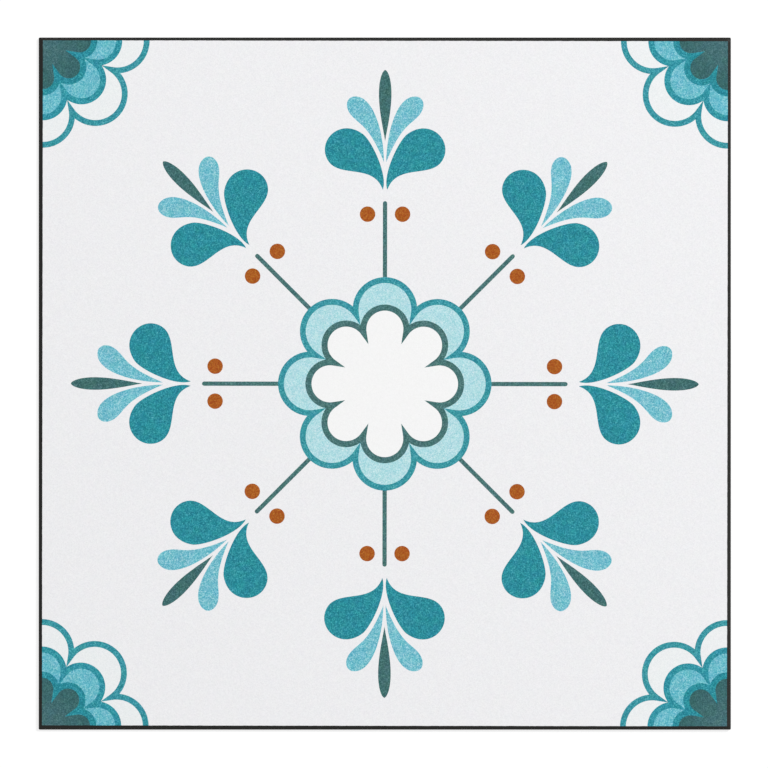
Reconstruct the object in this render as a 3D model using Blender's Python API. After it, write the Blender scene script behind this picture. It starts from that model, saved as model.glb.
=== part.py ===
"""A square vinyl floor tile, lying face up.

The tile is pressed hot from black vinyl and its printed top skin as one sheet, punched square,
and then milled round its face. It is one solid. From the bed up, its section is a flat back,
a slightly eased lower edge, an upright land that butts against the next tile, a sloping bevel,
a rounded arris, and the flat printed face.

Metres, +Z up. The origin is the centre of the back, so the tile rests on Z = 0.
"""

import math

import bmesh
import bpy
from mathutils import Matrix, Vector

# The punched blank
SIDE = 0.3048
THICKNESS = 0.0025
CORNER_RADIUS = 0.0005
BACK_EASE = 0.0002

# The milled bevel: its run in plan and its fall, where the face lies true on the blank
BEVEL_RUN = 0.0013
BEVEL_FALL = 0.0010
# How far the rounding of the arris reaches from it, along the face and down the bevel
ARRIS_EASE = 0.00015

# The mill's jig holds the blank a little off true, so the bevel is wider on some sides
FACE_TURN = math.radians(-0.08)
FACE_SHIFT = Vector((0.00006, 0.00013, 0.0))

# Facets of each rounding
CORNER_FACETS = 4
ARRIS_FACETS = 3
BACK_FACETS = 2

# How near an edge's ends lie to a level to count as on it, and how upright an edge is
LEVEL_TOLERANCE = 0.00001
UPRIGHT = 0.999

# Finishes: colour as linear red, green, blue, then roughness
WHITE_PRINT = ((0.863, 0.863, 0.880), 0.42)
BLACK_VINYL = ((0.020, 0.020, 0.021), 0.55)
FACE_SLOT = 0
BODY_SLOT = 1


def clear_scene():
    for thing in list(bpy.data.objects):
        bpy.data.objects.remove(thing, do_unlink=True)


def finish(name, colour, roughness):
    """A Principled material with one plain colour."""
    material = bpy.data.materials.new(name)
    material.use_nodes = True
    shader = material.node_tree.nodes["Principled BSDF"]
    shader.inputs["Base Color"].default_value = (*colour, 1.0)
    shader.inputs["Roughness"].default_value = roughness
    shader.inputs["Metallic"].default_value = 0.0
    material.diffuse_color = (*colour, 1.0)
    return material


def punch_blank(mesh):
    """The square slab as it leaves the die, its four upright corners slightly round."""
    bmesh.ops.create_cube(mesh, size=1.0)
    bmesh.ops.scale(mesh, vec=(SIDE, SIDE, THICKNESS), verts=mesh.verts)
    bmesh.ops.translate(mesh, vec=(0.0, 0.0, THICKNESS / 2), verts=mesh.verts)
    corners = [edge for edge in mesh.edges if is_upright(edge)]
    bmesh.ops.bevel(
        mesh,
        geom=corners,
        offset=CORNER_RADIUS,
        offset_type="OFFSET",
        segments=CORNER_FACETS,
        profile=0.5,
        affect="EDGES",
    )


def is_upright(edge):
    run = edge.verts[1].co - edge.verts[0].co
    return abs(run.normalized().z) > UPRIGHT


def mill_side(mesh, quarter):
    """One pass of the mill: a sloping plane takes the upper edge off one side of the blank."""
    turn = Matrix.Rotation(FACE_TURN + quarter * math.pi / 2, 3, "Z")
    face_edge = FACE_SHIFT + turn @ Vector((SIDE / 2 - BEVEL_RUN, 0.0, THICKNESS))
    slope = turn @ Vector((BEVEL_FALL, 0.0, BEVEL_RUN)).normalized()
    cut = bmesh.ops.bisect_plane(
        mesh,
        geom=mesh.verts[:] + mesh.edges[:] + mesh.faces[:],
        plane_co=face_edge,
        plane_no=slope,
        clear_outer=True,
    )
    rim = [piece for piece in cut["geom_cut"] if isinstance(piece, bmesh.types.BMEdge)]
    bmesh.ops.holes_fill(mesh, edges=rim, sides=0)


def edges_at_level(mesh, level):
    """The edges that lie flat at a height and bound the level face there."""
    return [
        edge
        for edge in mesh.edges
        if all(abs(vert.co.z - level) < LEVEL_TOLERANCE for vert in edge.verts)
    ]


def ease(mesh, level, reach, facets):
    """Rounds the edges round a level face, as far from them as the reach says."""
    bmesh.ops.bevel(
        mesh,
        geom=edges_at_level(mesh, level),
        offset=reach,
        offset_type="OFFSET",
        segments=facets,
        profile=0.5,
        affect="EDGES",
    )


def lay_slots(mesh):
    """The print covers the level face; the bevel, the lands and the back show black vinyl."""
    for face in mesh.faces:
        on_top = all(abs(vert.co.z - THICKNESS) < LEVEL_TOLERANCE for vert in face.verts)
        face.material_index = FACE_SLOT if on_top else BODY_SLOT


def build_tile():
    mesh = bmesh.new()
    punch_blank(mesh)
    for quarter in range(4):
        mill_side(mesh, quarter)
    ease(mesh, THICKNESS, ARRIS_EASE, ARRIS_FACETS)
    ease(mesh, 0.0, BACK_EASE, BACK_FACETS)
    bmesh.ops.recalc_face_normals(mesh, faces=mesh.faces)
    lay_slots(mesh)
    data = bpy.data.meshes.new("vinyl_tile")
    mesh.to_mesh(data)
    mesh.free()
    tile = bpy.data.objects.new("vinyl_tile", data)
    tile.data.materials.append(finish("white_print", *WHITE_PRINT))
    tile.data.materials.append(finish("black_vinyl", *BLACK_VINYL))
    bpy.context.scene.collection.objects.link(tile)
    return tile


clear_scene()
build_tile()
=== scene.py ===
# %% [markdown]
# A square vinyl floor tile lies on a pale floor, printed side up, and the camera looks straight
# down on it. The real tile is one black vinyl sheet with inks and a clear wear layer pressed into
# its top, and a bevel milled round the printed face shows the black again.
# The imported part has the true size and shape. This script adds the rest: the printed figures,
# the inks, the satin wear layer, and the finish of the bare vinyl.
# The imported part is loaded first, because every place below is measured from it.

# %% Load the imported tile
import math
import random
from collections import namedtuple

import bmesh
import bpy
from mathutils import Matrix, Vector
from mathutils.geometry import delaunay_2d_cdt, interpolate_bezier, intersect_point_line


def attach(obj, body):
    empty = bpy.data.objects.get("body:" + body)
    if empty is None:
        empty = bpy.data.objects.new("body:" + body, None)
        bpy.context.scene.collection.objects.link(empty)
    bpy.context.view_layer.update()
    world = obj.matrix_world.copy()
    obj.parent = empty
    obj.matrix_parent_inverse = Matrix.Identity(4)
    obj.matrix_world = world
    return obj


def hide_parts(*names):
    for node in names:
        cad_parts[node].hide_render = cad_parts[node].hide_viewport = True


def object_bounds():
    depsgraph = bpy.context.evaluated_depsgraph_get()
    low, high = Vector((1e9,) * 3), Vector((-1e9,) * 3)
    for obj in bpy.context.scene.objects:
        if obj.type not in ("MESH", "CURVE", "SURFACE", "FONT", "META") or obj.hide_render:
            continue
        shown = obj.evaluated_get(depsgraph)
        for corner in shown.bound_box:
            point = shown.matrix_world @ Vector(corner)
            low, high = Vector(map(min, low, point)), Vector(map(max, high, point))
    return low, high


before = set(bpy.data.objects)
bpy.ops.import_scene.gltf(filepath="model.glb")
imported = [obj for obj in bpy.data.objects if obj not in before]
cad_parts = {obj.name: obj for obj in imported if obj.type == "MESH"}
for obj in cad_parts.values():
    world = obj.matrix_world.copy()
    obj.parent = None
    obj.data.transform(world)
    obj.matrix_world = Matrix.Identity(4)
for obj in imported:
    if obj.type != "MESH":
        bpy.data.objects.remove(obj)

MM = 1000
cad_low, cad_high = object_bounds()
SIDE = cad_high.x - cad_low.x
TOP = cad_high.z
print(f"The tile is {SIDE * MM:.1f} mm square and {TOP * MM:.2f} mm thick")

# %% [markdown]
# Finishes read best as formulas, such as 1 - mask, while a shader is a graph of nodes.
# The nodes could be added and linked one by one, but a page of links hides what it works out.
# So one small class wraps an output socket: each operator adds the Math node it stands for, and
# one method adds any other node, with its settings first and then what its sockets hold.

# %% Shader arithmetic
class Signal:
    """A value that varies over a surface, held as the output socket of a shader node."""

    def __init__(self, socket):
        self.socket = socket

    @staticmethod
    def add(tree, kind, settings=None, sockets=None, output=None):
        """Adds a node and gives one of its outputs. Sockets go by their identifiers."""
        node = tree.nodes.new(kind)
        for name, value in (settings or {}).items():
            setattr(node, name, value)
        inputs = {socket.identifier: socket for socket in node.inputs}
        for name, value in (sockets or {}).items():
            if isinstance(value, Signal):
                tree.links.new(value.socket, inputs[name])
            else:
                inputs[name].default_value = value
        outputs = {socket.identifier: socket for socket in node.outputs}
        return Signal(outputs[output] if output else next(iter(node.outputs), None))

    def math(self, operation, first, second):
        tree = self.socket.id_data
        sockets = {"Value": first, "Value_001": second}
        return Signal.add(tree, "ShaderNodeMath", {"operation": operation}, sockets)

    def __add__(self, other):
        return self.math("ADD", self, other)

    def __radd__(self, other):
        return self.math("ADD", other, self)

    def __sub__(self, other):
        return self.math("SUBTRACT", self, other)

    def __rsub__(self, other):
        return self.math("SUBTRACT", other, self)

    def __mul__(self, other):
        return self.math("MULTIPLY", self, other)

    def __rmul__(self, other):
        return self.math("MULTIPLY", other, self)


def empty_tree(owner):
    """The node tree of a material or a world, with nothing in it."""
    owner.use_nodes = True
    owner.node_tree.nodes.clear()
    return owner.node_tree


# %% [markdown]
# A flat thing seen from straight above shows as its plan, and the photograph was taken from so
# far off that the bevels look alike on opposite sides. A parallel camera would do that too, but it
# can't be walked round the tile at the same framing. A very long lens from a few metres up can.
# The picture is a little wider than the tile, and its middle lies a hair off the tile's middle.

# %% Place the camera
VIEW_WIDTH = 0.3381
VIEW_CENTRE = Vector((-0.00035, -0.00018))
LENS = 300.0

scene = bpy.context.scene
camera = bpy.data.objects.new("camera", bpy.data.cameras.new("camera"))
camera.data.lens = LENS
camera_height = VIEW_WIDTH * LENS / camera.data.sensor_width
camera.location = (*VIEW_CENTRE, TOP + camera_height)
scene.collection.objects.link(camera)
scene.camera = camera
scene.view_settings.view_transform = "Standard"
print(f"The camera looks down from {camera_height:.2f} m")

# %% [markdown]
# The light is that of a plain studio: an even fill from all round and one wide, soft lamp. The
# lamp stands to the upper right and leans in, so the tile is a touch brighter there, and the satin
# face doesn't mirror it up into the lens. It stands far off, because a near lamp would leave one
# side of the tile much darker than the other.
# Fill and lamp together light a level surface so that a colour renders about as it is written.
# The background has to be brighter than that fill to look white. More light would bleach the tile,
# so the world is white only to the rays that show it: those straight from the camera, those that
# gloss mirrors and those that pass through something clear. To all other rays it is the fill.

# %% Light the scene
WHITE = (1.0, 1.0, 1.0, 1.0)
FILL = 0.405
LAMP_POWER = 520.0
LAMP_SIZE = 3.0
LAMP_PLACE = Vector((4.2, 3.6, 5.2))


def shown(tree):
    """One for a ray that shows what it meets, straight, mirrored or through glass, or else nought."""
    share = Signal.add(tree, "ShaderNodeLightPath", output="Is Camera Ray")
    for kind in ("Is Glossy Ray", "Is Transmission Ray"):
        other = Signal.add(tree, "ShaderNodeLightPath", output=kind)
        share = share.math("MAXIMUM", share, other)
    return share


world = bpy.data.worlds.new("studio")
scene.world = world
tree = empty_tree(world)
strength = FILL + (1 - FILL) * shown(tree)
sky = Signal.add(tree, "ShaderNodeBackground", None, {"Color": WHITE, "Strength": strength})
Signal.add(tree, "ShaderNodeOutputWorld", None, {"Surface": sky})

lamp = bpy.data.objects.new("soft_lamp", bpy.data.lights.new("soft_lamp", "AREA"))
lamp.data.shape = "DISK"
lamp.data.size = LAMP_SIZE
lamp.data.energy = LAMP_POWER
lamp.location = LAMP_PLACE
lamp.rotation_euler = LAMP_PLACE.to_track_quat("Z", "Y").to_euler()
lamp.visible_camera = False
scene.collection.objects.link(lamp)
print(f"The lamp leans {math.degrees(LAMP_PLACE.angle(Vector((0, 0, 1)))):.0f} degrees")

# %% [markdown]
# Round the tile the photograph is pure white. A floor lit brightly enough to be that white would
# throw its light back on the tile. Here the floor is a pale matt sheet, and it glows only in the
# rays that show it, just enough to reach white where nothing shades it. The tile's soft shadow
# stays.

# %% Lay the floor
FLOOR_SIZE = 12.0
FLOOR_COLOUR = (0.30, 0.30, 0.30, 1.0)
FLOOR_ROUGH = 1.0
FLOOR_GLOSS = 0.0
FLOOR_GLOW = 0.75

sheet = bmesh.new()
bmesh.ops.create_grid(sheet, x_segments=1, y_segments=1, size=FLOOR_SIZE / 2)
floor = bpy.data.objects.new("floor", bpy.data.meshes.new("floor"))
sheet.to_mesh(floor.data)
sheet.free()
scene.collection.objects.link(floor)
paper = bpy.data.materials.new("white_paper")
tree = empty_tree(paper)
glow = FLOOR_GLOW * shown(tree)
surface = Signal.add(
    tree,
    "ShaderNodeBsdfPrincipled",
    None,
    {
        "Base Color": FLOOR_COLOUR,
        "Roughness": FLOOR_ROUGH,
        "Specular IOR Level": FLOOR_GLOSS,
        "Emission Color": glow,
        "Emission Strength": 1.0,
    },
)
Signal.add(tree, "ShaderNodeOutputMaterial", None, {"Surface": surface})
floor.data.materials.append(paper)

# %% [markdown]
# The print is an old kind of tile ornament, drawn with compasses. A rosette sits in the middle,
# eight sprigs grow out of it, and quarter rosettes fill the corners, where four tiles meet.
# It could be a procedural texture, but then its edges would only be as sharp as a formula in the
# shader is, and each figure would be hard to find again. Here each figure is a closed outline at
# its real size, and the outlines cut the face itself, so every ink lies on triangles of its own.
# A direction on the print is its turn from straight up, clockwise, as a compass gives it.

# %% Helpers for drawing
FIGURES = 8
TURN = math.tau / FIGURES
POINT_GAP = 0.0007
FEWEST_STEPS = 2


def heading(turn):
    """The unit step in a compass direction."""
    return Vector((math.sin(turn), math.cos(turn)))


def arc(centre, radius, start, end):
    """Points round a circle, from one compass direction to another, close enough to look round."""
    count = max(FEWEST_STEPS, math.ceil(abs(end - start) * radius / POINT_GAP))
    steps = (start + (end - start) * step / count for step in range(count + 1))
    return [centre + radius * heading(turn) for turn in steps]


def turned(outline, turn):
    """The outline turned clockwise about the middle of the print."""
    spin = Matrix.Rotation(-turn, 2)
    return [spin @ point for point in outline]


def mirrored(outline):
    """The outline flipped from left to right, in the order that keeps its inside on one hand."""
    return [Vector((-point.x, point.y)) for point in reversed(outline)]


print(f"One of {FIGURES} figures takes {math.degrees(TURN):.0f} degrees")

# %% [markdown]
# A rosette is nested rings of eight lobes. The outer edge of a ring is a row of circle arcs that
# meet half way between the lobes. The petals inside it are rounder: each is a smaller circle on
# the same centre that runs on, past its widest, into straight flanks, and the flanks of two
# neighbours meet in a sharp point deep between them.
# Both outlines follow from a ring's distance, its two radii and the lean of the flanks, so the
# points where they meet are worked out and not listed.

# %% Draw the rosettes
Ring = namedtuple("Ring", "distance edge petal")
RINGS = (
    Ring(distance=0.03280, edge=0.01420, petal=0.01160),
    Ring(distance=0.02410, edge=0.01085, petal=0.00815),
    Ring(distance=0.01615, edge=0.00778, petal=0.00502),
)
FLANK_LEAN = math.radians(8.8)
HALF_TURN = TURN / 2


def ring_edge(ring):
    """The scalloped outer edge of a ring."""
    reach = HALF_TURN + math.asin(ring.distance * math.sin(HALF_TURN) / ring.edge)
    outline = []
    for lobe in range(FIGURES):
        axis = lobe * TURN
        outline += arc(ring.distance * heading(axis), ring.edge, axis - reach, axis + reach)[:-1]
    return outline


def ring_petals(ring):
    """The eight petals inside a ring, with the points between them."""
    reach = math.pi / 2 + FLANK_LEAN
    lean = math.tan(FLANK_LEAN)
    inward = ring.petal / math.cos(FLANK_LEAN) - ring.distance * lean
    point_distance = inward / (math.tan(HALF_TURN) - lean) / math.cos(HALF_TURN)
    outline = []
    for lobe in range(FIGURES):
        axis = lobe * TURN
        outline += arc(ring.distance * heading(axis), ring.petal, axis - reach, axis + reach)
        outline.append(point_distance * heading(axis + HALF_TURN))
    return outline


def rosette(centre, inks):
    """The layers of a rosette from the outside in: for each ring, its edge and then its petals."""
    layers = []
    for ring, (edge_ink, petal_ink) in zip(RINGS, inks):
        layers.append((edge_ink, [centre + point for point in ring_edge(ring)]))
        layers.append((petal_ink, [centre + point for point in ring_petals(ring)]))
    return layers


print(f"A rosette is {2 * MM * (RINGS[0].distance + RINGS[0].edge):.0f} mm across")

# %% [markdown]
# A sprig stands on a thin stem with a round end, with a berry on each side, and a slender leaf
# tops it. Stem and berries are straight lines and circle arcs.
# The leaf could be two arcs, but then both of its ends would be alike. The real one swells slowly
# from its lower tip and closes in a round top, so its width is one formula up its length.

# %% Draw the stem, the berries and the leaf
STEM_FOOT = 0.0400
STEM_TOP = 0.0805
STEM_WIDTH = 0.0019
BERRY_PLACE = Vector((0.00770, 0.07471))
BERRY_RADIUS = 0.00342
LEAF_TIP = 0.1068
LEAF_TOP = 0.1382
LEAF_WIDTH = 0.00554
LEAF_TAPER = 1.18
LEAF_ROUND = 0.60
LEAF_POINTS = 64


def stem():
    half = STEM_WIDTH / 2
    top = arc(Vector((0, STEM_TOP - half)), half, -math.pi / 2, math.pi / 2)
    return [Vector((-half, STEM_FOOT)), *top, Vector((half, STEM_FOOT))]


def berry(side):
    centre = Vector((side * BERRY_PLACE.x, BERRY_PLACE.y))
    return arc(centre, BERRY_RADIUS, 0, math.tau)[:-1]


def leaf():
    """The half width is a power of t times a power of 1 - t, where t goes from 0 to 1 up the leaf."""
    t = LEAF_TAPER / (LEAF_TAPER + LEAF_ROUND)
    widest = t**LEAF_TAPER * (1 - t) ** LEAF_ROUND
    outline = []
    for step in range(LEAF_POINTS):
        root = 2 * step / LEAF_POINTS - 1
        t = 1 - root * root
        side = LEAF_WIDTH / 2 * t**LEAF_TAPER * abs(root) ** (2 * LEAF_ROUND) / widest
        height = LEAF_TIP + (LEAF_TOP - LEAF_TIP) * t
        outline.append(Vector((math.copysign(side, root), height)))
    return outline


print(f"The leaf is {(LEAF_TOP - LEAF_TIP) * MM:.1f} mm long, in {len(leaf())} points")

# %% [markdown]
# Between the stem and the leaf, two broad drops and two slim ones curl away to the sides.
# A drop isn't made of circles, so it is a closed curve through three places, each with the
# direction in which the pen passes and how far it runs straight before and after. Only the right
# one of each pair is drawn, and the left one is its mirror image.

# %% Draw the drops
CURVE_POINTS = 40

Knot = namedtuple("Knot", "place arriving reach_in leaving reach_out")
BROAD_DROP = (
    Knot(Vector((0.0010, 0.0854)), 199, 0.0134, -20, 0.0070),
    Knot(Vector((0.0098, 0.1100)), 54, 0.0047, 54, 0.0118),
    Knot(Vector((0.0260, 0.1000)), 200, 0.0087, 200, 0.0114),
)
SLIM_DROP = (
    Knot(Vector((0.0005, 0.0976)), 202, 0.0185, 0, 0.0120),
    Knot(Vector((0.0138, 0.1265)), 96, 0.0090, 96, 0.0031),
    Knot(Vector((0.0153, 0.1187)), 217, 0.0046, 217, 0.0059),
)


def drop(knots):
    """The closed curve through a drop's knots."""
    outline = []
    for here, there in zip(knots, knots[1:] + knots[:1]):
        out = here.place + here.reach_out * heading(math.radians(here.leaving))
        back = there.place - there.reach_in * heading(math.radians(there.arriving))
        outline += interpolate_bezier(here.place, out, back, there.place, CURVE_POINTS)[:-1]
    return outline


SPRIG = [
    ("stalk", stem()),
    ("rust", berry(-1)),
    ("rust", berry(1)),
    ("dark", leaf()),
    ("teal", drop(BROAD_DROP)),
    ("teal", mirrored(drop(BROAD_DROP))),
    ("light", drop(SLIM_DROP)),
    ("light", mirrored(drop(SLIM_DROP))),
]
print(f"A sprig is {len(SPRIG)} outlines, {(LEAF_TOP - STEM_FOOT) * MM:.0f} mm long")

# %% [markdown]
# Each spot of the real face shows one ink, so the figures fit round each other like a puzzle.
# The outlines could be trimmed against each other in the same way, but then none of them would be
# a plain drawing any more. Here they overlap, and a later one covers an earlier one: first the
# sprigs, then the middle rosette over the feet of the stems, and then the corner rosettes, whose
# outlines run on past the edge of the face.

# %% Lay out the whole print
CORNER_PLACE = 0.15075
MIDDLE_INKS = (("outline", "pale"), ("stalk", "bright"))
CORNER_INKS = (("outline", "petal"), ("band", "deep"), ("teal", "heart"))

layers = []
for figure in range(FIGURES):
    layers += [(ink, turned(outline, figure * TURN)) for ink, outline in SPRIG]
layers += rosette(Vector((0, 0)), MIDDLE_INKS)
for across in (-CORNER_PLACE, CORNER_PLACE):
    for up in (-CORNER_PLACE, CORNER_PLACE):
        layers += rosette(Vector((across, up)), CORNER_INKS)
print(f"The print has {len(layers)} outlines, {sum(len(o) for _, o in layers)} points")

# %% [markdown]
# The tile's new mesh starts as a copy of the imported one, which itself is left as it is.
# The body could also be built anew from its sizes, but a copy can't differ from the imported shape.
# It comes in as loose triangles, some of them as long as the tile. They are welded, and flat
# neighbours are joined. The level face comes off, so that a new one with the figures in it can
# take its place, and upright planes cut the rest into even columns.

# %% Open the body
CELL = 0.006
WELD = 0.000001
FLAT_ANGLE = 0.001


def is_level_at(face, height):
    return all(abs(vert.co.z - height) < WELD for vert in face.verts)


def open_body():
    """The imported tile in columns, without its printed face."""
    mesh = bmesh.new()
    mesh.from_mesh(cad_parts["vinyl_tile"].data)
    bmesh.ops.remove_doubles(mesh, verts=mesh.verts, dist=WELD)
    bmesh.ops.dissolve_limit(mesh, angle_limit=FLAT_ANGLE, verts=mesh.verts, edges=mesh.edges)
    lid = [face for face in mesh.faces if is_level_at(face, TOP)]
    bmesh.ops.delete(mesh, geom=lid, context="FACES")
    columns = math.floor(SIDE / 2 / CELL)
    for direction in (Vector((1, 0, 0)), Vector((0, 1, 0))):
        for column in range(-columns, columns + 1):
            everything = mesh.verts[:] + mesh.edges[:] + mesh.faces[:]
            place = column * CELL * direction
            bmesh.ops.bisect_plane(mesh, geom=everything, plane_co=place, plane_no=direction)
    return mesh


def rim_of(mesh):
    """The edges round the opening, and their corners in order, anticlockwise from above."""
    edges = [edge for edge in mesh.edges if edge.is_boundary]
    corners = {vert for edge in edges for vert in edge.verts}
    middle = sum((vert.co for vert in corners), Vector()) / len(corners)
    return edges, sorted(corners, key=lambda vert: math.atan2(*(vert.co - middle).yx))


tile_mesh = open_body()
rim_edges, rim = rim_of(tile_mesh)
print(f"The opening has {len(rim_edges)} edges and the body {len(tile_mesh.faces)} faces")

# %% [markdown]
# The mill held the tile a little askew, and the print lies square to the milled face and not to
# the edges. So the print takes its turn from the lower edge of the opening.
# The cutter also frays the printed film, which stops a fraction of a millimetre short of the rim.
# Outside it the black sheet shows, so the black border looks a little wider than the bevel is.
# The border could be painted in the shader, but an outline of the film, whose points waver by
# chance, gives it a clean edge that can be cut with the others. The chance has a seed, so the
# tile comes out the same each time.

# %% Lay the print on the face
PRINT_SHIFT = Vector((0.0, -0.00013))
FILM_SHORT = 0.00018
FRAY = 0.00004
FRAY_GAP = 0.0011
FRAY_SEED = 11


def corner_towards(way):
    """The rim's corner that lies furthest in a direction."""
    return max((vert.co.xy for vert in rim), key=lambda place: place.dot(Vector(way)))


def anticlockwise(outline):
    pairs = zip(outline, outline[1:] + outline[:1])
    return outline if sum(a.cross(b) for a, b in pairs) > 0 else outline[::-1]


def film_edge(corners):
    """The corners' square drawn in by the film's shortfall, which wavers from point to point."""
    chance = random.Random(FRAY_SEED)
    outline = []
    for here, there in zip(corners, corners[1:] + corners[:1]):
        along = (there - here).normalized()
        inward = Vector((-along.y, along.x))
        outline.append(here + FILM_SHORT * (inward + along))
        steps = round((there - here).length / FRAY_GAP)
        for step in range(1, steps):
            short = FILM_SHORT + chance.uniform(-FRAY, FRAY)
            outline.append(here.lerp(there, step / steps) + short * inward)
    return outline


corners = [corner_towards(way) for way in ((-1, -1), (1, -1), (1, 1), (-1, 1))]
lower_edge = corners[1] - corners[0]
print_turn = math.atan2(lower_edge.y, lower_edge.x)
spin = Matrix.Rotation(print_turn, 2)
outlines = [[vert.co.xy for vert in rim], film_edge(corners)]
for _, outline in layers:
    outlines.append(anticlockwise([spin @ point + PRINT_SHIFT for point in outline]))
print(f"The print turns {math.degrees(print_turn):.2f} degrees, inside {len(outlines[1])} film points")

# %% [markdown]
# A constrained triangulation cuts the face: it keeps the rim and every outline as edges, fills
# the rest from an even grid of points, and says for each triangle which outlines hold it. The
# last of them in the list is the ink on top, but only where there is film.
# Boolean cuts could do this one outline at a time, but ninety cuts in one flat face are slow and
# leave slivers where outlines cross. This takes all of them at once.

# %% Cut the face along the outlines
CONSTRAINED = 1
CUT_SCALE = 1000.0
CUT_EPSILON = 0.0005

INKS = (
    "bare",
    "ground",
    "dark",
    "heart",
    "stalk",
    "rust",
    "teal",
    "outline",
    "band",
    "light",
    "deep",
    "pale",
    "bright",
    "petal",
)
RIM, FILM = 0, 1
ink_of = [INKS.index(ink) for ink in ("bare", "ground", *(ink for ink, _ in layers))]


def grid_points():
    """Even points over the face, short of its rim."""
    reach = math.floor((SIDE / 2 - CELL / 2) / CELL)
    span = range(-reach, reach + 1)
    return [Vector((column * CELL, row * CELL)) for column in span for row in span]


points = []
loops = []
for outline in outlines:
    loops.append(list(range(len(points), len(points) + len(outline))))
    points += outline
points += grid_points()
scaled = [point * CUT_SCALE for point in points]
cut = delaunay_2d_cdt(scaled, [], loops, CONSTRAINED, CUT_EPSILON)
cut_points, _, cut_faces, _, _, cut_owners = cut
print(f"{len(outlines)} outlines cut the face into {len(cut_faces)} triangles")

# %% [markdown]
# The triangles outside the rim are dropped, and the others close the opening. Where an outline
# runs off the face, it leaves a point on the rim that the bevel below doesn't have yet. The bevel's
# edge is split there, or the mesh would show hairline cracks, and the two are welded.
# A sheet has to be closed all round, so every edge is counted: each must have two faces.

# %% Close the body with the printed face
MOST_SIDES = 4


def edge_under(edges, place):
    """The edge that a place lies on, and how far along it."""
    for edge in edges:
        start, end = (vert.co for vert in edge.verts)
        nearest, share = intersect_point_line(place, start, end)
        if 0 < share < 1 and (nearest - place).length < WELD:
            return edge, share
    return None, 0


def lay_face(mesh):
    """Adds the cut triangles, each with the ink on top, and gives their outer corners."""
    corners = [mesh.verts.new((*(place / CUT_SCALE), TOP)) for place in cut_points]
    for face, owners in zip(cut_faces, cut_owners):
        if RIM in owners:
            made = mesh.faces.new([corners[index] for index in face])
            made.material_index = ink_of[max(owners) if FILM in owners else RIM]
    loose = [vert for vert in corners if not vert.link_faces]
    bmesh.ops.delete(mesh, geom=loose, context="VERTS")
    return [vert for vert in corners if vert.is_valid and vert.is_boundary]


def join_face(mesh, edges, corners, outer):
    """Splits the body's rim under the face's outer corners, welds the two and keeps faces simple."""
    for vert in outer:
        edge, share = edge_under(edges, vert.co)
        if edge:
            made, corner = bmesh.utils.edge_split(edge, edge.verts[0], share)
            edges.append(made)
            corners.append(corner)
    bmesh.ops.remove_doubles(mesh, verts=corners + outer, dist=WELD)
    many_sided = [face for face in mesh.faces if len(face.verts) > MOST_SIDES]
    bmesh.ops.triangulate(mesh, faces=many_sided)


outer = lay_face(tile_mesh)
join_face(tile_mesh, rim_edges, rim, outer)
open_edges = sum(len(edge.link_faces) != 2 for edge in tile_mesh.edges)
print(f"The tile has {len(tile_mesh.faces)} faces and {open_edges} open edges")

# %% [markdown]
# The finishes are nodes, but other programs read a finish as a picture laid over a map of the
# surface. Blender can unwrap a mesh by itself, and would give the printed face, the hidden back
# and every sliver of the bevel their shares of that picture.
# The face is what people look at. Here it takes four fifths of the map, straight from above, and
# the back is a small square. Each side is a strip beside the face, unrolled from the edge of the
# film, down the bevel and the upright edge, to the back. The bare border goes with its strip,
# because next to the white print it would be narrower than one dot of the picture.

# %% Lay out the map
MAP_GAP = 0.006
MAP_FACE = 0.90
MAP_BORDER = 0.0021
MAP_EASE = 0.0002
MAP_SCALE = MAP_FACE / SIDE
STRIPS_START = MAP_GAP + MAP_FACE + MAP_GAP
STRIP_STEP = (MAP_BORDER + TOP + MAP_EASE) * MAP_SCALE + MAP_GAP
BACK_SCALE = (1 - MAP_GAP - STRIPS_START) / SIDE
SIDES = (Vector((1, 0, 0)), Vector((0, 1, 0)), Vector((-1, 0, 0)), Vector((0, -1, 0)))


def strip_place(face, place):
    """Where a corner of a face lies on the strip of the side that the face is nearest to."""
    middle = face.calc_center_median()
    side = max(range(len(SIDES)), key=lambda index: middle.dot(SIDES[index]))
    inset = SIDE / 2 - place.dot(SIDES[side])
    if face.normal.z < 0:
        inset = -inset
    unrolled = MAP_BORDER - inset + TOP - place.z
    along = place.dot(Vector((0, 0, 1)).cross(SIDES[side])) + SIDE / 2
    return STRIPS_START + side * STRIP_STEP + unrolled * MAP_SCALE, MAP_GAP + along * MAP_SCALE


def map_place(face, place):
    """Where a corner of a face lies on the map."""
    across, up = place.x + SIDE / 2, place.y + SIDE / 2
    if is_level_at(face, 0):
        return STRIPS_START + (SIDE - across) * BACK_SCALE, STRIPS_START + up * BACK_SCALE
    if is_level_at(face, TOP) and INKS[face.material_index] != "bare":
        return MAP_GAP + across * MAP_SCALE, MAP_GAP + up * MAP_SCALE
    return strip_place(face, place)


tile_mesh.normal_update()
bake_map = tile_mesh.loops.layers.uv.new("OFBake")
for face in tile_mesh.faces:
    for loop in face.loops:
        loop[bake_map].uv = map_place(face, loop.vert.co)
map_width = STRIPS_START + len(SIDES) * STRIP_STEP
print(f"The face takes {MAP_FACE ** 2:.0%} of the map, and the last strip ends at {map_width:.3f}")

# %% [markdown]
# Each finish below is a colour, a gloss and a bump, and all three change a little from place to
# place. A painted picture could hold those changes, but it has an end and a grain of its own.
# Here they come from smooth noise instead, which is made at any size and never repeats, so a
# helper makes it from the width of its lumps in metres. The seed is the noise's fourth dimension.

# %% Helpers for the finishes
MIDDLE = 0.5
LUMP_DETAIL = 1.0


def linear(red, green, blue):
    """A screen colour of three values up to 255, as the light that it stands for."""
    return [((value / 255 + 0.055) / 1.055) ** 2.4 for value in (red, green, blue)]


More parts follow.
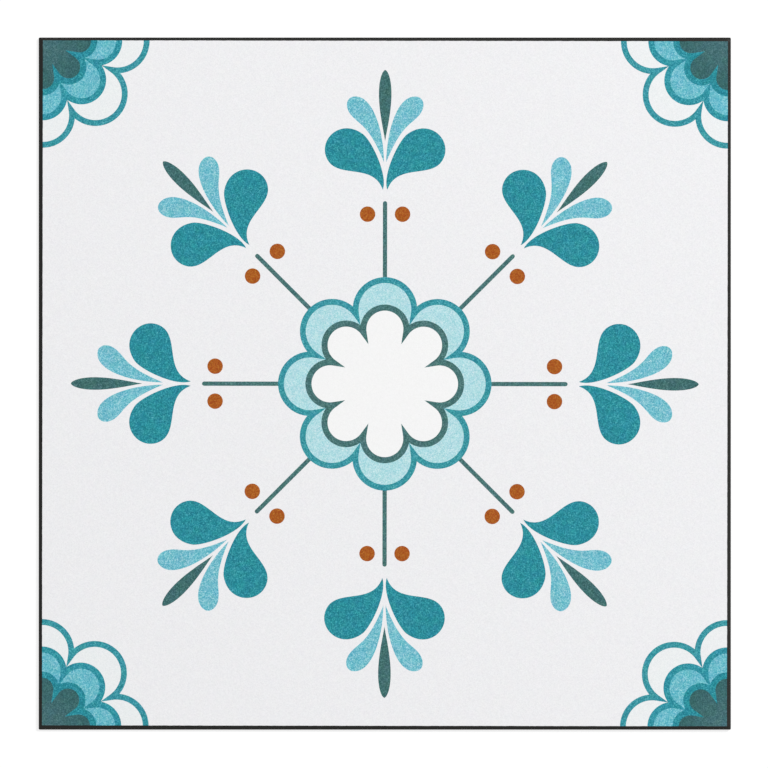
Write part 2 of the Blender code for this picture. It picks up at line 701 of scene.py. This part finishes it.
def lumps(tree, place, cell, seed, output=None):
    """Smooth noise from 0 to 1, spread about its middle, in lumps about a cell wide."""
    settings = {"noise_dimensions": "4D"}
    sockets = {"Vector": place, "W": seed, "Scale": 1 / cell, "Detail": LUMP_DETAIL}
    return Signal.add(tree, "ShaderNodeTexNoise", settings, sockets, output)


def vector(tree, operation, *values, output="Vector"):
    """Arithmetic on a colour or a place, whose three numbers go through together."""
    sockets = dict(zip(("Vector", "Vector_001", "Vector_002"), values))
    return Signal.add(tree, "ShaderNodeVectorMath", {"operation": operation}, sockets, output)


def bumped(tree, height, depth):
    """Dimples up to a depth in metres, as changed normals."""
    sockets = {"Height": height, "Distance": depth, "Strength": 1.0}
    return Signal.add(tree, "ShaderNodeBump", None, sockets)


def finish(name, tree_work):
    """A material whose sockets come from a function of its node tree and the place on the tile."""
    material = bpy.data.materials.new(name)
    tree = empty_tree(material)
    place = Signal.add(tree, "ShaderNodeTexCoord", output="Object")
    shader = Signal.add(tree, "ShaderNodeBsdfPrincipled", None, tree_work(tree, place))
    Signal.add(tree, "ShaderNodeOutputMaterial", None, {"Surface": shader})
    return material


print(f"The screen's half grey, 128, stands for {linear(128, 128, 128)[0]:.2f} of full light")

# %% [markdown]
# Every ink is the same kind of thing, a film that colours the light going through it. Where the
# film is a little thin the colour is paler, and where it is thick the colour is deeper, most of
# all in the channel that the ink takes away. The photograph shows this as a grain finer than a
# millimetre. It also shows the hue drifting over a few millimetres, because a colour is printed in
# several passes and each pass has thin places of its own.
# Noise could simply be added to each colour, but then the dark inks would turn grey. A film twice
# as thick lets through the square of the light, so a colour is the ink's own, raised to the power
# of the thickness. The grain and the passes give each channel its thickness, which is about one.
# Only the dark hearts of the corner rosettes grow paler as a whole towards the tile's corners, most of
# all in red, through a thinner film in the formula. That paling is painted light, a haze laid over the
# dark ink near the tile's corners.
# Over all of it lies the clear wear layer: satin, and faintly dimpled like orange peel. It has no
# colour of its own, so it is the gloss and the bump that all the inks share.

# %% Mix the inks
GRAIN_CELL = 0.00046
PASS_CELL = 0.0028
CLOUD_CELL = 0.0045
PEEL_CELL = 0.0018
GRAIN_SHARE = 6.2
PASS_SHARE = 0.7
PEEL_DEPTH = 0.00003
HEART_REACH = 0.020
# Painted light: how much a haze pales the dark hearts near the tile's corners, in red, green and blue.
HEART_PAINTED_HAZE = (0.20, 0.12, 0.15)
SATIN = 0.36
SATIN_CHANGE = 0.08
WEAR_GLOSS = 0.22


def near_corner(tree, place):
    """One at the nearest corner of the tile, and nought at a heart's reach from it."""
    quarter = vector(tree, "ABSOLUTE", place)
    corner = (SIDE / 2, SIDE / 2, TOP)
    distance = vector(tree, "DISTANCE", quarter, corner, output="Value")
    return 1 - distance * (1 / HEART_REACH)


def ink(name, colour, spread, painted_haze=None):
    """A film under the wear layer: how much its grain changes it, and how much painted haze pales it at
    a corner.
    """

    def film(tree, place):
        grain = lumps(tree, place, GRAIN_CELL, seed=1.0)
        passes = lumps(tree, place, PASS_CELL, seed=2.0, output="Color")
        cloud = lumps(tree, place, CLOUD_CELL, seed=3.0)
        peel = lumps(tree, place, PEEL_CELL, seed=4.0)
        shared = GRAIN_SHARE * (grain - MIDDLE)
        own = vector(tree, "SUBTRACT", passes, [MIDDLE] * 3)
        change = vector(tree, "MULTIPLY_ADD", own, [PASS_SHARE] * 3, shared)
        body = (1, 1, 1)
        # Painted haze: the film is thinned near a corner so that the dark ink looks paler there.
        if painted_haze:
            haze_lift = vector(tree, "MULTIPLY", near_corner(tree, place), painted_haze)
            body = vector(tree, "SUBTRACT", body, haze_lift)
        thickness = vector(tree, "MULTIPLY_ADD", change, [spread] * 3, body)
        return {
            "Base Color": vector(tree, "POWER", colour, thickness),
            "Roughness": SATIN + SATIN_CHANGE * (cloud - MIDDLE),
            "Specular IOR Level": WEAR_GLOSS,
            "Normal": bumped(tree, peel, PEEL_DEPTH),
        }

    return finish(name, film)


ink_finishes = {
    "bare": ink("bare_black", linear(24, 24, 23), spread=0.10),
    "ground": ink("white_ground", linear(237, 237, 239), spread=0.24),
    "dark": ink("dark_ink", linear(56, 102, 102), spread=0.22),
    # The heart ink carries the painted haze near the tile's corners.
    "heart": ink("heart_ink", linear(49, 96, 98), spread=0.16, painted_haze=HEART_PAINTED_HAZE),
    "stalk": ink("thin_dark_ink", linear(65, 109, 108), spread=0.22),
    "rust": ink("rust_ink", linear(164, 84, 18), spread=0.20),
    "teal": ink("teal_ink", linear(32, 136, 150), spread=0.29),
    "outline": ink("thin_teal_ink", linear(50, 145, 157), spread=0.29),
    "band": ink("middle_ring_ink", linear(41, 143, 158), spread=0.29),
    "light": ink("light_blue_ink", linear(112, 187, 202), spread=0.40),
    "deep": ink("deep_blue_ink", linear(103, 184, 199), spread=0.36),
    "pale": ink("pale_blue_ink", linear(176, 219, 225), spread=0.36),
    "bright": ink("bright_white", linear(244, 244, 244), spread=0.20),
    "petal": ink("petal_white", linear(235, 238, 239), spread=0.26),
}
print(f"{len(ink_finishes)} inks under one wear layer")

# %% [markdown]
# The bare vinyl is black all through, and what shows is how each surface was made. The bevel was
# milled, so the cutter left fine ridges across it, one for each bite.
# The ridges could be modelled, but they are only hundredths of a millimetre deep, so a bump does.
# One formula could not serve all four sides of the bevel if it used x or y. The direction along
# each side is square to the surface's normal and to straight up, so it is worked out from those.

# %% Finish the milled bevel
RIDGE_PITCH = 0.0007
RIDGE_DEPTH = 0.00002
RIDGE_DRIFT = 6.0
BLACK = linear(22, 22, 20)
GREY = linear(38, 38, 34)
VINYL_GLOSS = 0.18
MILLED_ROUGH = 0.45
ROUGH_CHANGE = 0.25


def mixed(tree, factor, first, second):
    settings = {"data_type": "RGBA"}
    sockets = {"Factor_Float": factor, "A_Color": (*first, 1), "B_Color": (*second, 1)}
    return Signal.add(tree, "ShaderNodeMix", settings, sockets, "Result_Color")


def vinyl(tree, grey, tops, rough, height, depth):
    """The sockets of a bare surface. Where it is greyer, up to the tops' colour, it is duller."""
    return {
        "Base Color": mixed(tree, grey, BLACK, tops),
        "Roughness": rough + ROUGH_CHANGE * grey,
        "Specular IOR Level": VINYL_GLOSS,
        "Normal": bumped(tree, height, depth),
    }


def milled(tree, place):
    """Ridges across the bevel, a little uneven, with dull grey tops."""
    normal = Signal.add(tree, "ShaderNodeNewGeometry", output="True Normal")
    side = vector(tree, "NORMALIZE", vector(tree, "CROSS_PRODUCT", normal, (0, 0, 1)))
    along = vector(tree, "DOT_PRODUCT", place, side, output="Value")
    drift = lumps(tree, place, CLOUD_CELL, seed=5.0)
    phase = along * (math.tau / RIDGE_PITCH) + drift * RIDGE_DRIFT
    wave = Signal.add(tree, "ShaderNodeMath", {"operation": "SINE"}, {"Value": phase})
    ridge = 0.5 + 0.5 * wave
    wear = lumps(tree, place, CLOUD_CELL, seed=6.0)
    return vinyl(tree, ridge * wear, GREY, MILLED_ROUGH, ridge, RIDGE_DEPTH)


milled_finish = finish("milled_vinyl", milled)
print(f"The bevel has a ridge every {RIDGE_PITCH * MM:.1f} mm")

# %% [markdown]
# The upright edges were punched, so they carry faint upright scores. The back was sanded, so that
# glue takes to it, and the belt left long scratches, all one way, and greyer patches where it bit.
# Both marks are long and thin. A wave texture would draw stripes, but all of one width. Noise is
# uneven, but round, so the place is shrunk along one direction before the noise reads it, which
# stretches its lumps that way.

# %% Finish the punched edges and the sanded back
SCORE_CELL = 0.0004
SCORE_STRETCH = 0.08
SCORE_DEPTH = 0.00003
PUNCHED_ROUGH = 0.45
SAND_CELL = 0.0009
SAND_STRETCH = 0.02
SAND_GREY = 0.5
SAND_SHARE = 3.0
SAND_DEPTH = 0.00004
PATCH_CELL = 0.018
PATCH_SHARE = 1.2
SANDED_ROUGH = 0.60
DUSTY = linear(60, 60, 56)


def punched(tree, place):
    """Upright scores, long and thin."""
    stretched = vector(tree, "MULTIPLY", place, (1, 1, SCORE_STRETCH))
    score = lumps(tree, stretched, SCORE_CELL, seed=7.0)
    return vinyl(tree, score, GREY, PUNCHED_ROUGH, score, SCORE_DEPTH)


def sanded(tree, place):
    """Long scratches the way the belt ran, dull, and greyer in patches."""
    stretched = vector(tree, "MULTIPLY", place, (1, SAND_STRETCH, 1))
    scratch = lumps(tree, stretched, SAND_CELL, seed=8.0)
    patch = lumps(tree, place, PATCH_CELL, seed=9.0)
    grey = SAND_GREY + SAND_SHARE * (scratch - MIDDLE) + PATCH_SHARE * (patch - MIDDLE)
    return vinyl(tree, grey, DUSTY, SANDED_ROUGH, scratch, SAND_DEPTH)


vinyl_finishes = [
    milled_finish,
    finish("punched_vinyl", punched),
    finish("sanded_vinyl", sanded),
]
print(f"A scratch of the sanding belt is about {SAND_CELL / SAND_STRETCH * MM:.0f} mm long")

# %% [markdown]
# Last, the mesh becomes an object. The printed triangles have their inks already. The other faces
# could be picked by hand, but a rule still holds when a size changes, so each goes by the way it
# looks: up a slope for the bevel, level and down for the back, and outward for an edge. The bevel's
# rounded arris is shaded smooth, and its true corners stay sharp.
# The new piece rides on the tile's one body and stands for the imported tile.

# %% Dress the tile
SLOPING = 0.05
FACING_DOWN = -0.99
SHARP_ANGLE = math.radians(20)
MILLED, PUNCHED, SANDED = (len(INKS) + index for index in range(len(vinyl_finishes)))

for face in tile_mesh.faces:
    printed = is_level_at(face, TOP)
    face.smooth = not printed
    if not printed and face.normal.z > SLOPING:
        face.material_index = MILLED
    elif face.normal.z < FACING_DOWN:
        face.material_index = SANDED
    elif not printed:
        face.material_index = PUNCHED

tile = bpy.data.objects.new("printed_tile", bpy.data.meshes.new("printed_tile"))
tile_mesh.to_mesh(tile.data)
tile_mesh.free()
for material in [ink_finishes[name] for name in INKS] + vinyl_finishes:
    tile.data.materials.append(material)
tile.data.set_sharp_from_angle(angle=SHARP_ANGLE)
scene.collection.objects.link(tile)
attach(tile, "root")
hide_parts("vinyl_tile")
print(f"The dressed tile has {len(tile.data.polygons)} faces and {len(tile.data.materials)} finishes")
